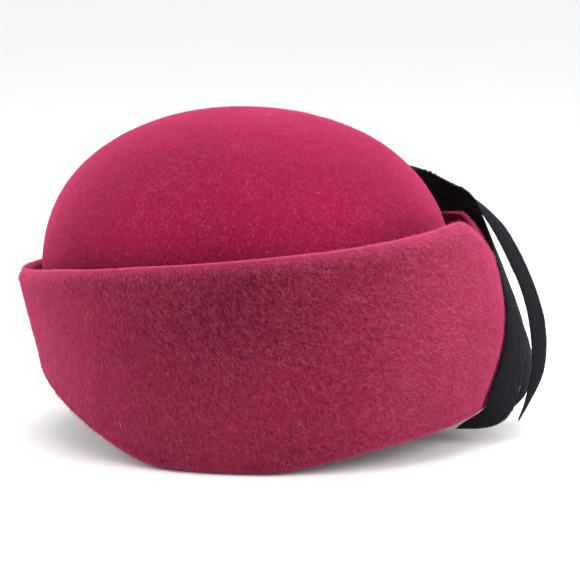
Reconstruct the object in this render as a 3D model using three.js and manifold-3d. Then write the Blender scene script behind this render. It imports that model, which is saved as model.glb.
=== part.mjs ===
// A velour felt hat: a rounded crown, a deep brim turned up all round as a cuff, and a spray of dark
// feathers that sweeps over the back rim and falls down behind the cuff.
// Millimetres, +Z up. The wearer faces -Y, and the wearer's left is +X. The fold of the brim rests on
// z = 0, and the origin is the middle of the head opening. Angles are in degrees round +Z, from the
// front towards the wearer's left.
import * as THREE from 'three';
import Module from 'manifold-3d';

const wasm = await Module();
wasm.setup();
const { Manifold, Mesh } = wasm;

// Felt wall, and the gap that touching pieces keep
const WALL = 2.5;
const GAP = 0.3;

// Sections of the hat every 45 degrees from the front to the back. The far side mirrors the near side.
// Radii are outside radii from the origin: of the cuff just above its fold, halfway up and at its rim,
// and of the crown where its dome begins. rimZ is the height of the rim, and the higher the fullness of
// the dome, the squarer its shoulder.
const SECTIONS = [
  { at: 'front', foldR: 105, bellyR: 109, rimR: 114, rimZ: 78, crownR: 103, fullness: 2.34 },
  { at: 'front quarter', foldR: 95.5, bellyR: 102.5, rimR: 107.5, rimZ: 84, crownR: 90.5, fullness: 2.34 },
  { at: 'side', foldR: 89, bellyR: 97, rimR: 101, rimZ: 91.5, crownR: 80.5, fullness: 2.34 },
  { at: 'back quarter', foldR: 98.5, bellyR: 105.5, rimR: 102.5, rimZ: 99, crownR: 86, fullness: 2.42 },
  { at: 'back', foldR: 112, bellyR: 117.6, rimR: 102, rimZ: 104.2, crownR: 93, fullness: 2.6 },
];
const SECTIONS_ROUND = 8;
const SECTION_STEP = 45;

// The fold lies flat along both sides and lifts towards the front and the back. flatTo is the cosine of
// the angle at which an end begins to lift, and FOLD_SOFT is the share of the lift over which it begins.
const FOLD_LIFTS = {
  front: { lift: 32, flatTo: 0.32, power: 1.5 },
  back: { lift: 15.5, flatTo: 0.27, power: 1.06 },
};
const FOLD_SOFT = 0.18;

// The cuff's lip rolls inwards over the last share of its height
const LIP_ROLL = 2.2;
const LIP_SHARE = 0.1;

// The rim dips behind, by a share of the cuff's height, softly on the near side and more steeply past it
const RIM_DIP = { phi: 182, near: 10.5, far: 5.5, depth: 0.14 };

// The fold: an outer arc, a flattened strip underneath, an inner arc, and the leg up to the head seam
const FOLD_ARC = 5;
const FOLD_FLAT = 4;
const HEAD_ARC = 3.5;
const SEAM_RISE = 14;

// The crown: where its dome begins, its top, and how its top leans forward
const DOME_Z = 70.5;
const TOP_Z = 154;
const TOP_SHIFT = -3;
const TOP_LEAN = -4;

// Facets
const ROUND_STEPS = 48;
const CUFF_STEPS = 7;
const ARC_STEPS = 3;
const WALL_STEPS = 4;
const DOME_STEPS = 9;

// The bound quill ends, upright in the gap between crown and cuff on the wearer's right, behind
const BINDING = { phi: 242, bottom: 60, height: 12, thickness: 5, cornerSteps: 6 };

// Feathers, from the one nearest the crown outwards. Each rises out of the binding to its crest, passes
// over the rim and falls to its tip. rise and overRise are heights over the rim at the crest and where it
// passes over, overOut and shoulderOut are how far outside the rim it passes, out and lowOut are how far
// it stands off the cuff halfway down and low down, and hemOut and tipOut are its place outside the fold
// near its end and at its tip. rootTurn and tipTurn are how far its face turns to the wearer's left. near
// and far are the widths of its two sides, towards the wearer's left and right, and the higher a side's
// blunt, the nearer the tip it keeps its width.
const FEATHERS = [
  {
    name: 'feather_inner', near: 14, nearBlunt: 8, far: 12.5, farBlunt: 7.5, rootTurn: -14, tipTurn: 34,
    crestPhi: 222, rise: 14, overRise: 5.4, overOut: 0, shoulderOut: 6, out: 5, lowOut: 6.8,
    hemOut: 5.8, hemZ: 15, tipPhi: 168, tipOut: -13, tipZ: 7,
  },
  {
    name: 'feather_outer', near: 14, nearBlunt: 1.8, far: 15.5, farBlunt: 2.6, rootTurn: 84, tipTurn: 28,
    crestPhi: 225, rise: 24, overRise: 11.3, overOut: 4, shoulderOut: 15.2, out: 14.2, lowOut: 17.6,
    hemOut: 16.6, hemZ: 18, tipPhi: 175.5, tipOut: 12.8, tipZ: 9,
  },
  {
    name: 'feather_middle', near: 11, nearBlunt: 8, far: 12, farBlunt: 8, rootTurn: -4, tipTurn: 34,
    crestPhi: 235, rise: 14, overRise: 7, overOut: 5.5, shoulderOut: 9.5, out: 10, lowOut: 16.4,
    hemOut: 17, hemZ: 19, tipPhi: 186, tipOut: 12, tipZ: 11,
  },
  {
    name: 'feather_far', near: 9.5, nearBlunt: 8, far: 9.5, farBlunt: 8, rootTurn: 0, tipTurn: 10,
    crestPhi: 240, rise: 8.5, overRise: 3.5, overOut: 7, shoulderOut: 7, out: 6, lowOut: 7,
    hemOut: 8, hemZ: 20, tipPhi: 211, tipOut: 4, tipZ: 10,
  },
];

// Where the points of a feather's route lie: upright out of the binding, then inside the rim at the crest,
// then shares of the turn from crest to tip
const ROUTE = {
  upright: 8, crestInside: 15, layerPitch: 3, riseShare: 0.4, riseHeight: 0.3,
  overTurn: 0.33, shoulderTurn: 0.56, shoulderDrop: 5.5,
  bellyTurn: 0.83, bellyZ: 57, lowTurn: 0.91, lowZ: 34, hemTurn: 0.97,
};

// A feather's body: quill and vane thickness, the bare length of the quill as a share of the whole, how
// fast the vane opens above it, the shares of its width at its root and tip, and the saw-tooth notches of
// its edges
const QUILL_ROOT_R = 1.2;
const QUILL_TIP_R = 0.4;
const QUILL_SIDES = 6;
const VANE = 1.0;
const VANE_EDGE = 0.45;
const BARE_SHARE = 0.14;
const OPENING = 14;
const ROOT_WIDTH = 0.4;
const TIP_WIDTH = 1.1;
const MIN_HALF = 0.75;
const CAMBER = 0.1;
const LOCKS = 4;
const NOTCH = 0.08;
const ROUTE_STEPS = 30;
const VANE_COLUMNS = [-1, -0.5, 0, 0.5, 1];

const COLOURS = { felt: 0xb0285a, feather: 0x16161b, binding: 0x1d1b20 };

const { degToRad, lerp, clamp } = THREE.MathUtils;
const cosine = (degrees) => Math.cos(degToRad(degrees));
const sine = (degrees) => Math.sin(degToRad(degrees));

// A point at an angle round the hat, a radius and a height
function polar(phi, radius, z) {
  return new THREE.Vector3(radius * sine(phi), -radius * cosine(phi), z);
}

// The weight of one section at an angle away from it: 1 at itself, 0 at every other section
function sectionWeight(away) {
  const half = degToRad(away) / 2;
  if (Math.abs(Math.sin(half)) < 1e-9) {
    return 1;
  }
  return Math.sin(SECTIONS_ROUND * half) / (SECTIONS_ROUND * Math.tan(half));
}

// A column of the sections, carried smoothly round the hat
function around(column, phi) {
  let value = 0;
  for (let k = 0; k < SECTIONS_ROUND; k += 1) {
    const row = SECTIONS[Math.min(k, SECTIONS_ROUND - k)];
    value += row[column] * sectionWeight(phi - k * SECTION_STEP);
  }
  return value;
}

// The height of the fold's underside: nought along the sides, and a power of how far an end has lifted
function foldZ(phi) {
  const c = cosine(phi);
  const end = c > 0 ? FOLD_LIFTS.front : FOLD_LIFTS.back;
  const past = (Math.abs(c) - end.flatTo) / (1 - end.flatTo);
  const beginning = Math.max(past + FOLD_SOFT, 0) ** 2 / (4 * FOLD_SOFT);
  return end.lift * (past < FOLD_SOFT ? beginning : past) ** end.power;
}

// The inside radius of the head opening
function headR(phi) {
  return around('foldR', phi) - FOLD_ARC - FOLD_FLAT - HEAD_ARC;
}

// How much of its full height the cuff reaches at an angle
function rimShare(phi) {
  const away = phi - RIM_DIP.phi;
  return 1 - RIM_DIP.depth * Math.exp(-((away / (away < 0 ? RIM_DIP.near : RIM_DIP.far)) ** 2));
}

// The outside radius of the cuff, a parabola through its fold, belly and rim, less the roll of its lip.
// share goes from 0 to 1.
function cuffR(phi, share) {
  const low = around('foldR', phi) * (1 - share) * (1 - 2 * share);
  const middle = around('bellyR', phi) * 4 * share * (1 - share);
  const high = around('rimR', phi) * share * (2 * share - 1);
  const roll = LIP_ROLL * (Math.max(share - rimShare(phi) + LIP_SHARE, 0) / LIP_SHARE) ** 2;
  return low + middle + high - roll;
}

// How far up the cuff a height lies, from 0 above the fold to 1 under the rim's round
function cuffShare(phi, z) {
  const low = foldZ(phi) + FOLD_ARC;
  const high = around('rimZ', phi) - WALL / 2;
  return (z - low) / (high - low);
}

// The outside radius of the crown's wall, blended smoothly from the head seam to the dome
function crownWallR(phi, z) {
  const seam = foldZ(phi) + SEAM_RISE + GAP;
  const blend = THREE.MathUtils.smoothstep(z, seam, DOME_Z);
  return lerp(headR(phi) + WALL, around('crownR', phi), blend);
}

// Points of an arc in a section, by its centre, radius and end angles
function arc(r, z, radius, from, to) {
  const points = [];
  for (let k = 0; k <= ARC_STEPS; k += 1) {
    const angle = lerp(from, to, k / ARC_STEPS);
    points.push([r + radius * cosine(angle), z + radius * sine(angle)]);
  }
  return points;
}

// Triangles between rows of points. A row is a closed ring, or one point where the surface closes up.
function loft(rows, closed = false) {
  const points = rows.flat();
  const starts = [];
  let count = 0;
  for (const row of rows) {
    starts.push(count);
    count += row.length;
  }
  const triangles = [];
  const pairs = closed ? rows.length : rows.length - 1;
  for (let i = 0; i < pairs; i += 1) {
    const next = (i + 1) % rows.length;
    const n = Math.max(rows[i].length, rows[next].length);
    for (let j = 0; j < n; j += 1) {
      const k = (j + 1) % n;
      const a = starts[i] + (rows[i].length > 1 ? j : 0);
      const b = starts[i] + (rows[i].length > 1 ? k : 0);
      const c = starts[next] + (rows[next].length > 1 ? k : 0);
      const d = starts[next] + (rows[next].length > 1 ? j : 0);
      if (a !== b) {
        triangles.push(a, b, c);
      }
      if (c !== d) {
        triangles.push(a, c, d);
      }
    }
  }
  return { points, triangles };
}

// A three.js geometry of lofted triangles
function toGeometry({ points, triangles }) {
  const geometry = new THREE.BufferGeometry().setFromPoints(points);
  geometry.setIndex(triangles);
  geometry.computeVertexNormals();
  return geometry;
}

// A solid of lofted triangles, for joining
function toSolid({ points, triangles }) {
  const vertProperties = new Float32Array(points.flatMap((p) => [p.x, p.y, p.z]));
  const triVerts = new Uint32Array(triangles);
  return new Manifold(new Mesh({ numProp: 3, vertProperties, triVerts }));
}

// A three.js geometry of a joined solid
function fromSolid(solid) {
  const mesh = solid.getMesh();
  const geometry = new THREE.BufferGeometry();
  geometry.setAttribute('position', new THREE.BufferAttribute(new Float32Array(mesh.vertProperties), 3));
  geometry.setIndex(new THREE.BufferAttribute(new Uint32Array(mesh.triVerts), 1));
  geometry.computeVertexNormals();
  return geometry;
}

const ringAngles = Array.from({ length: ROUND_STEPS }, (_, k) => (k * 360) / ROUND_STEPS);

// The brim's section at an angle: up the outside of the cuff, over the round rim, down its inside, round
// the fold's inside to the head seam, and back round the fold's outside
function brimSection(phi) {
  const low = foldZ(phi);
  const outerEdge = around('foldR', phi) - FOLD_ARC;
  const innerEdge = outerEdge - FOLD_FLAT;
  const head = headR(phi);
  const top = rimShare(phi);
  const rimR = cuffR(phi, top) - WALL / 2;
  const height = (share) => lerp(low + FOLD_ARC, around('rimZ', phi) - WALL / 2, share);
  const outside = [];
  for (let k = 1; k < CUFF_STEPS; k += 1) {
    const share = (top * k) / CUFF_STEPS;
    outside.push([cuffR(phi, share), height(share)]);
  }
  const rolling = top - LIP_SHARE / 2;
  outside.push([cuffR(phi, rolling), height(rolling)]);
  const inside = outside.map(([r, z]) => [r - WALL, z]).reverse();
  return [
    ...outside,
    ...arc(rimR, height(top), WALL / 2, 0, 180),
    ...inside,
    ...arc(outerEdge, low + FOLD_ARC, FOLD_ARC - WALL, 0, -90),
    ...arc(innerEdge, low + HEAD_ARC, HEAD_ARC - WALL, -90, -180),
    [head + WALL, low + SEAM_RISE],
    [head, low + SEAM_RISE],
    ...arc(innerEdge, low + HEAD_ARC, HEAD_ARC, -180, -90),
    ...arc(outerEdge, low + FOLD_ARC, FOLD_ARC, -90, 0),
  ];
}

function brimGeometry() {
  const sections = ringAngles.map(brimSection);
  const rows = sections[0].map((_, i) => (
    ringAngles.map((phi, j) => polar(phi, sections[j][i][0], sections[j][i][1]))
  ));
  return toGeometry(loft(rows, true));
}

// Rings of one face of the crown from the head seam to the top, set in by a thickness
function crownRows(inset) {
  const rows = [];
  for (let k = 0; k < WALL_STEPS; k += 1) {
    rows.push(ringAngles.map((phi) => {
      const z = lerp(foldZ(phi) + SEAM_RISE + GAP, DOME_Z, k / WALL_STEPS);
      return polar(phi, crownWallR(phi, z) - inset, z);
    }));
  }
  const height = TOP_Z - inset - DOME_Z;
  for (let k = 0; k <= DOME_STEPS; k += 1) {
    const angle = (90 * k) / DOME_STEPS;
    const onDome = (phi) => {
      const rise = sine(angle) ** (2 / around('fullness', phi));
      const shift = TOP_SHIFT * (1 - cosine(angle)) + TOP_LEAN * rise;
      const radius = (around('crownR', phi) - inset) * cosine(angle);
      return polar(phi, radius, DOME_Z + height * rise).add(new THREE.Vector3(0, shift, 0));
    };
    rows.push(k < DOME_STEPS ? ringAngles.map(onDome) : [onDome(0)]);
  }
  return rows;
}

function crownGeometry() {
  return toGeometry(loft([...crownRows(WALL).reverse(), ...crownRows(0)]));
}

// The bundle of bound quill ends: a flat bundle with round sides, from the crown across to the cuff
function bindingMesh() {
  const ends = [BINDING.bottom, BINDING.bottom + BINDING.height];
  const from = Math.max(...ends.map((z) => crownWallR(BINDING.phi, z))) + GAP;
  const to = Math.min(...ends.map((z) => cuffR(BINDING.phi, cuffShare(BINDING.phi, z)))) - WALL - 2 * GAP;
  const round = BINDING.thickness / 2;
  const outline = new THREE.Shape();
  outline.absarc(to - round, 0, round, -Math.PI / 2, Math.PI / 2);
  outline.absarc(from + round, 0, round, Math.PI / 2, (3 * Math.PI) / 2);
  const shape = { depth: BINDING.height, bevelEnabled: false, curveSegments: BINDING.cornerSteps };
  const mesh = namedMesh('quill_binding', new THREE.ExtrudeGeometry(outline, shape), COLOURS.binding, 0.8);
  mesh.position.z = BINDING.bottom;
  mesh.rotation.z = degToRad(BINDING.phi - 90);
  return mesh;
}

// The route of a feather's quill, from the binding over the rim to the tip
function featherRoute(feather, layer) {
  const turn = (share) => lerp(feather.crestPhi, feather.tipPhi, share);
  const byRim = (phi, out, up) => polar(phi, around('rimR', phi) + out, around('rimZ', phi) + up);
  const byCuff = (phi, out, z) => polar(phi, cuffR(phi, cuffShare(phi, z)) + out, z);
  const byFold = (phi, out, z) => polar(phi, around('foldR', phi) + out, z);
  const layerOut = layer * ROUTE.layerPitch;
  const rootR = crownWallR(BINDING.phi, DOME_Z) + 2 * GAP + QUILL_ROOT_R + layerOut;
  const rootZ = BINDING.bottom + BINDING.height + GAP;
  const crestOut = layerOut - ROUTE.crestInside;
  const risePhi = lerp(BINDING.phi, feather.crestPhi, ROUTE.riseShare);
  return new THREE.CatmullRomCurve3([
    polar(BINDING.phi, rootR, rootZ),
    polar(BINDING.phi, rootR, rootZ + ROUTE.upright),
    byRim(risePhi, crestOut, feather.rise * ROUTE.riseHeight),
    byRim(feather.crestPhi, crestOut, feather.rise),
    byRim(turn(ROUTE.overTurn), feather.overOut, feather.overRise),
    byRim(turn(ROUTE.shoulderTurn), feather.shoulderOut, -ROUTE.shoulderDrop),
    byCuff(turn(ROUTE.bellyTurn), feather.out, ROUTE.bellyZ),
    byCuff(turn(ROUTE.lowTurn), feather.lowOut, ROUTE.lowZ),
    byFold(turn(ROUTE.hemTurn), feather.hemOut, feather.hemZ),
    byFold(feather.tipPhi, feather.tipOut, feather.tipZ),
  ], false, 'centripetal');
}

// The quill's place and the directions across and out of the vane, a share of the way along a feather
function featherFrame(route, feather, share) {
  const place = route.getPointAt(share);
  const along = route.getTangentAt(share);
  const out = new THREE.Vector3(place.x, place.y, 0).normalize();
  out.addScaledVector(along, -out.dot(along)).normalize();
  out.applyAxisAngle(along, degToRad(lerp(feather.rootTurn, feather.tipTurn, share)));
  const across = new THREE.Vector3().crossVectors(along, out);
  return { place, out, across };
}

// The vane's width on one side (-1 or 1): it opens from the quill, widens along the feather and closes at
// the tip, with the notches between its locks
function halfWidth(feather, share, side) {
  const grown = clamp((share - BARE_SHARE) / (1 - BARE_SHARE), 0, 1);
  const width = side > 0 ? feather.near : feather.far;
  const blunt = side > 0 ? feather.nearBlunt : feather.farBlunt;
  const ends = (1 - (1 - grown) ** OPENING) * (1 - grown ** blunt);
  const lock = (grown * LOCKS + (side > 0 ? 0.5 : 0)) % 1;
  const half = width * lerp(ROOT_WIDTH, TIP_WIDTH, grown) * ends * (1 - NOTCH * (1 - lock));
  return Math.max(half, MIN_HALF);
}

// One feather: a cambered vane with notched edges, fused to its quill
function featherGeometry(feather, layer) {
  const route = featherRoute(feather, layer);
  const vaneRows = [];
  const quillRows = [];
  for (let k = 0; k <= ROUTE_STEPS; k += 1) {
    const share = k / ROUTE_STEPS;
    const { place, out, across } = featherFrame(route, feather, share);
    const vanePoint = (v, face) => {
      const reach = v * halfWidth(feather, share, v);
      const lift = face * (VANE / 2) * (1 - VANE_EDGE * v * v) - CAMBER * Math.abs(v * reach);
      return place.clone().addScaledVector(across, reach).addScaledVector(out, lift);
    };
    const top = VANE_COLUMNS.map((v) => vanePoint(v, 1));
    const underside = VANE_COLUMNS.map((v) => vanePoint(v, -1)).reverse();
    if (share >= BARE_SHARE) {
      vaneRows.push([...top, ...underside]);
    }
    const radius = lerp(QUILL_ROOT_R, QUILL_TIP_R, share);
    quillRows.push(Array.from({ length: QUILL_SIDES }, (_, j) => {
      const angle = -(360 * j) / QUILL_SIDES;
      return place.clone().addScaledVector(across, radius * cosine(angle))
        .addScaledVector(out, radius * sine(angle));
    }));
  }
  const middle = (row) => row.reduce((sum, p) => sum.add(p), new THREE.Vector3()).divideScalar(row.length);
  const capped = (rows) => [[middle(rows[0])], ...rows, [middle(rows[rows.length - 1])]];
  const vane = toSolid(loft(capped(vaneRows)));
  const quill = toSolid(loft(capped(quillRows)));
  return fromSolid(Manifold.union(vane, quill));
}

function namedMesh(name, geometry, color, roughness) {
  const material = new THREE.MeshStandardMaterial({ color, roughness, metalness: 0 });
  const mesh = new THREE.Mesh(geometry, material);
  mesh.name = name;
  return mesh;
}

const hat = new THREE.Group();
hat.add(namedMesh('crown', crownGeometry(), COLOURS.felt, 0.9));
hat.add(namedMesh('brim', brimGeometry(), COLOURS.felt, 0.9));
hat.add(bindingMesh());
FEATHERS.forEach((feather, layer) => {
  hat.add(namedMesh(feather.name, featherGeometry(feather, layer), COLOURS.feather, 0.45));
});

export default hat;
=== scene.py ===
"""A raspberry velour felt hat with a turned-up brim and a spray of black feathers, dressed in Blender.

Shapes are worked out in millimetres and put into meshes in metres. The wearer faces -Y, the wearer's left
is +X, and the fold of the brim rests on z = 0. An angle phi is in degrees round +Z, from the front towards
the wearer's left.
"""
import itertools
import math

import bpy
import numpy as np
from bpy.props import FloatProperty, FloatVectorProperty, IntProperty, PointerProperty
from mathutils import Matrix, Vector


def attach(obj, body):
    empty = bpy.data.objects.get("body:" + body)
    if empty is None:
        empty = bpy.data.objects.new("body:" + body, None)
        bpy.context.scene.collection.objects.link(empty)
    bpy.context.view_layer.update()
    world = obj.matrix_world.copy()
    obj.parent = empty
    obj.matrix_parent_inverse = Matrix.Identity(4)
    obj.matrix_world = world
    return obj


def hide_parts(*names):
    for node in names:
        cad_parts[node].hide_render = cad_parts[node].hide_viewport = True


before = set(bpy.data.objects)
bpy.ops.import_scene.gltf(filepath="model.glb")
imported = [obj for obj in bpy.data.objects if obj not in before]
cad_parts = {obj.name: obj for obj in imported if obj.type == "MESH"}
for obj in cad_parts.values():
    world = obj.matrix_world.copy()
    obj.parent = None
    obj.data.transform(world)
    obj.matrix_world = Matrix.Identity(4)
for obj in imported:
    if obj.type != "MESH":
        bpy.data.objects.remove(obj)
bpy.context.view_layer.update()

bl_info = {
    "name": "Felt hat with feather spray",
    "version": (1, 0, 0),
    "blender": (4, 5, 0),
    "location": "View3D > Sidebar > Hat",
    "description": "Builds a velour felt hat, its nap and its feathers round the packed solids",
    "category": "Add Mesh",
}

MM = 0.001
BODY = "root"

# Sections of the hat every 45 degrees from the front to the back, and the far side mirrors the near side.
# Radii are outside radii in mm: of the cuff above its fold, halfway up and at its rim, and of the crown
# where its dome begins. rim_z is the height of the rim, and the higher the fullness of the dome, the
# squarer its shoulder.
SECTIONS = {
    "fold_r": (105, 95.5, 89, 98.5, 112),
    "belly_r": (109, 102.5, 97, 105.5, 117.6),
    "rim_r": (114, 107.5, 101, 102.5, 102),
    "rim_z": (78, 84, 91.5, 99, 104.2),
    "crown_r": (103, 90.5, 80.5, 86, 93),
    "fullness": (2.34, 2.34, 2.34, 2.42, 2.6),
}
SECTIONS_ROUND = 8
SECTION_STEP = 45

# The cuff's lip rolls inwards, by mm, over the last share of its height
LIP_ROLL = 2.2
LIP_SHARE = 0.1

# The rim dips behind, by a share of the cuff's height, softly on the near side and more steeply past it
RIM_DIP = {"phi": 182, "near": 10.5, "far": 5.5, "depth": 0.14}

# The fold lies flat along both sides, up to a cosine of phi, and lifts by mm to the front and the back.
# FOLD_SOFT is the share of the lift's run, on both sides of that cosine, over which it begins.
FOLD_LIFTS = {
    "front": {"lift": 32, "flat_to": 0.32, "power": 1.5},
    "back": {"lift": 15.5, "flat_to": 0.27, "power": 1.06},
}
FOLD_SOFT = 0.18

# The felt's wall, the gap that pieces keep, and the fold's section from the cuff to the head seam, in mm
WALL = 2.5
GAP = 0.3
FOLD_ARC = 5
FOLD_FLAT = 4
HEAD_ARC = 3.5
SEAM_RISE = 14

# The crown's dome in mm: where it begins, its top, and how its top leans forward
DOME_Z = 70.5
TOP_Z = 154
TOP_SHIFT = -3
TOP_LEAN = -4

# The bound quill ends, upright in the gap between crown and cuff
BINDING = {"phi": 242, "bottom": 60, "height": 12, "thickness": 5}

# Feathers, from the one nearest the crown outwards, with the sizes of the solids that they replace. near
# and far are the vane's widths on both sides of the quill, and the higher a blunt value, the squarer that
# side ends. root_turn and tip_turn turn the vane about its quill. The rest place points of the route by
# their angle phi, their distance out from the rim, cuff or fold, and their height or rise above the rim.
FEATHER_COLUMNS = (
    "name", "near", "near_blunt", "far", "far_blunt", "root_turn", "tip_turn", "crest_phi", "rise",
    "over_rise", "over_out", "shoulder_out", "out", "low_out", "hem_out", "hem_z", "tip_phi", "tip_out",
    "tip_z",
)
FEATHERS = (
    ("feather_inner", 14, 8, 12.5, 7.5, -14, 34, 222, 14,
     5.4, 0, 6, 5, 6.8, 5.8, 15, 168, -13, 7),
    ("feather_outer", 14, 1.8, 15.5, 2.6, 84, 28, 225, 24,
     11.3, 4, 15.2, 14.2, 17.6, 16.6, 18, 175.5, 12.8, 9),
    ("feather_middle", 11, 8, 12, 8, -4, 34, 235, 14,
     7, 5.5, 9.5, 10, 16.4, 17, 19, 186, 12, 11),
    ("feather_far", 9.5, 8, 9.5, 8, 0, 10, 240, 8.5,
     3.5, 7, 7, 6, 7, 8, 20, 211, 4, 10),
)

# The route that all feathers follow, in mm and in shares of the rise and of the turns to crest and tip
ROUTE = {
    "upright": 8, "crest_inside": 15, "layer_pitch": 3, "rise_share": 0.4, "rise_height": 0.3,
    "over_turn": 0.33, "shoulder_turn": 0.56, "shoulder_drop": 5.5,
    "belly_turn": 0.83, "belly_z": 57, "low_turn": 0.91, "low_z": 34, "hem_turn": 0.97,
}

# Quill and vane: radii and the least half width in mm, and the rest as shares, powers and a count of locks
QUILL_ROOT_R = 1.2
QUILL_TIP_R = 0.4
QUILL_FLAT = 0.4
BARE_SHARE = 0.14
OPENING = 14
ROOT_WIDTH = 0.4
TIP_WIDTH = 1.1
MIN_HALF = 0.75
CAMBER = 0.1
LOCKS = 4
NOTCH = 0.08

# The web under the barbs: its share of the vane's width, half its thickness in mm, and where it ends
WEB = {"width": 0.97, "half_thick": 0.16, "end": 0.995}

# Barbs, in shares of the quill (last, end), of the pitch (shift, breadths), of the half width (sweep, edge)
# and of the ridge's height (tip_fall, front_share), with a power, and base and flutter in mm
BARB = {
    "last": 0.985, "end": 0.999, "shift": 0.4, "sweep": 0.95, "sweep_spread": 0.05, "sweep_power": 1.25,
    "edge": 1.045, "edge_spread": 0.025, "root_breadth": 0.85, "tip_breadth": 0.35,
    "base": 0.10, "tip_fall": 0.7, "front_share": 0.2, "flutter": 0.05,
}

# Stretches where loose barbs widen a vane, on its near (1) or far (-1) side, by a length in mm
LOOSE_COLUMNS = ("name", "side", "share", "spread", "length")
LOOSE = (
    ("feather_inner", 1, 0.285, 0.045, 3.0),
    ("feather_inner", 1, 0.60, 0.045, 2.2),
    ("feather_inner", 1, 0.885, 0.045, 2.4),
    ("feather_inner", -1, 0.335, 0.035, 2.6),
    ("feather_outer", 1, 0.85, 0.10, 2.8),
)

# Soft spots of the felt: angle, height, radius and amount
SPOT_COLUMNS = ("phi", "z", "radius", "amount")

# Shallow dents and a swelling low on the cuff, behind, as depths
DENTS = (
    (141, 43, 6, 0.75),
    (137.5, 38.5, 4.5, 0.5),
    (144.5, 38, 5, -0.5),
)

# Painted light (above 0) and painted shade (below 0) in the colour of the felt and its nap, as soft spots
CUFF_PAINTED_SHADING = (
    # Painted light on the cuff's sides and low down, and painted shade high in its middle
    (146, 60, 34, 0.40),
    (134, 20, 26, 0.14),
    (96, 76, 32, -0.17),
    (88, 6, 28, 0.14),
    (40, 58, 30, 0.14),
    # Painted shadow of the feathers on the far lip, and painted light on the shaded inside under it
    (-150, 105, 6, -0.9),
    (-156, 106, 6, -0.9),
    (-162, 106.5, 6, -0.9),
    (-168, 106.5, 6, -0.9),
    (-174, 103, 6, -0.9),
    (-179, 96, 6, -0.9),
    (-158, 92, 11, 0.9),
)
CROWN_PAINTED_SHADING = (
    # Painted light low on the crown's wall, where the cuff shades it, and a painted highlight near its top
    (62, 94, 28, 0.36),
    (124, 96, 30, 0.44),
    (92, 88, 22, 0.26),
    (96, 146, 18, 0.16),
)

# How the lip swells inwards in front, where it is rolled thickest
LIP_SWELL = {"phi": -10, "width": 34, "depth": 3.2, "share": 0.22}

# Grids: steps round the hat, and rows along each stretch of a section
BRIM_ROUND = 320
CUFF_ROWS = 60
CUFF_INSIDE_ROWS = 36
RIM_ROWS = 8
FOLD_ROWS = 8
LEG_ROWS = 4
CROWN_ROUND = 280
CROWN_WALL_ROWS = 20
DOME_ROWS = 64
CROWN_INSIDE_SHARE = 2

# Rings along the bodies of a feather and corners round them, and steps of its route between two points
QUILL_RINGS = (140, 10)
WEB_RINGS = (150, 14)
BARB_RINGS = (6, 3)
ROUTE_STEPS = 80

# Unevenness of blocked felt as rows of weight, size in mm and seed, the grid rows over which it fades out,
# and the share of the crown's wall where it begins
RELIEF_NOISE = (
    (0.7, 26.0, 1.0),
    (0.3, 7.0, 2.0),
)
RELIEF_FADE = {"fold": 6, "inside": 8, "top": 10}
CROWN_RELIEF_FROM = 0.3

# Degrees by which the nap varies, softly over a size in mm and finely from lock to lock
NAP_TURN = {"soft": 26, "size": 14.0, "seed": 5.0, "fine": 28}
NAP_LEAN = {"soft": 6, "size": 18.0, "seed": 6.0, "fine": 5}

# Degrees by which the nap is turned from straight down towards the wearer's back
CROWN_TURN = 20
BRIM_TURN = {"middle": 30, "swing": 32, "start": 75}

# Locks of nap: how much their length varies, how much shorter they are on the lip and how much painted
# highlight lightens their shade there, their widths as shares of the set one, the depth of their roots
# in mm, and the height of their section as a share of half its width
LENGTH_SPREAD = 0.22
LIP_SHORTER = 0.25
LIP_PAINTED_HIGHLIGHT = 0.5
WIDTH_RANGE = (0.6, 1.3)
ROOT_DEPTH = 0.12
SPIKE_RISE = 0.8

# A lock's shade: where it starts, its own random share, what the painted light and shade add and the top
# of the range, and the noise that it shares with its neighbours as rows of weight, size in mm and seed
SHADE = {"base": 0.25, "own": 0.55, "painted_shading": 0.3, "top": 0.9}
SHADE_NOISE = (
    (0.09, 4.0, 8.0),
    (0.06, 30.0, 9.0),
)

# Bits of lint on each piece of nap, and how far the nap keeps off the floor in mm
LINT = 9
FLOOR_GAP = 0.2

# First seeds of the random draws
SEEDS = {"brim": 11, "crown": 21, "feathers": 30}

# How strongly the felt's fine streaks and tufts show, and how far from the lip the painted highlight
# reaches in metres
BRIM_GRAIN = 1.0
CROWN_GRAIN = 0.7
LIP_HIGHLIGHT_REACH = 0.0062

# The name of a piece's flat layout, and its empty edge
LAYOUT_MAP = "OFBake"
LAYOUT_EDGE = 0.01

# Numbers that turn a corner of a lattice into a value that looks random
HASH = np.array((12.9898, 78.233, 37.719))
HASH_SCALE = 43758.5453


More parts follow.
